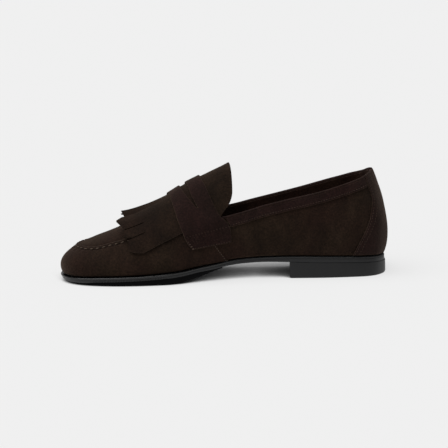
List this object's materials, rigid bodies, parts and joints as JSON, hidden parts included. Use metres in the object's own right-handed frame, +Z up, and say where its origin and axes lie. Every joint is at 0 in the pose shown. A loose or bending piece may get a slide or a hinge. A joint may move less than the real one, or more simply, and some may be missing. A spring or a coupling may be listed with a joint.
{
  "type": "kiltie loafer",
  "caption": "Low slip-on suede dress shoe for the right foot: hollow upper with a raised toe seam, a fringed flap under a slotted saddle strap, and a thin rubber sole with a block heel.",
  "frame": {"origin": "on the floor, under the middle of the shoe's box", "axes": "+X towards the toe, +Y towards the inner side, where the other foot stands, +Z up"},
  "size_m": [0.2908, 0.1006, 0.0991],
  "materials": {
    "brown_suede": "napped suede, matt",
    "red_brown_suede": "napped suede, matt",
    "lining_leather": "smooth lining leather, matt",
    "sole_rubber": "moulded rubber, satin"
  },
  "bodies": {
    "root": {"outsole": "sole_rubber", "midsole": "sole_rubber", "heel": "sole_rubber", "insole": "lining_leather", "upper": "brown_suede", "tongue": "brown_suede", "kiltie": "brown_suede", "saddle_strap": "red_brown_suede", "collar_binding_inner": "red_brown_suede", "collar_binding_outer": "red_brown_suede", "heel_patch": "red_brown_suede"}
  },
  "joints": []
}
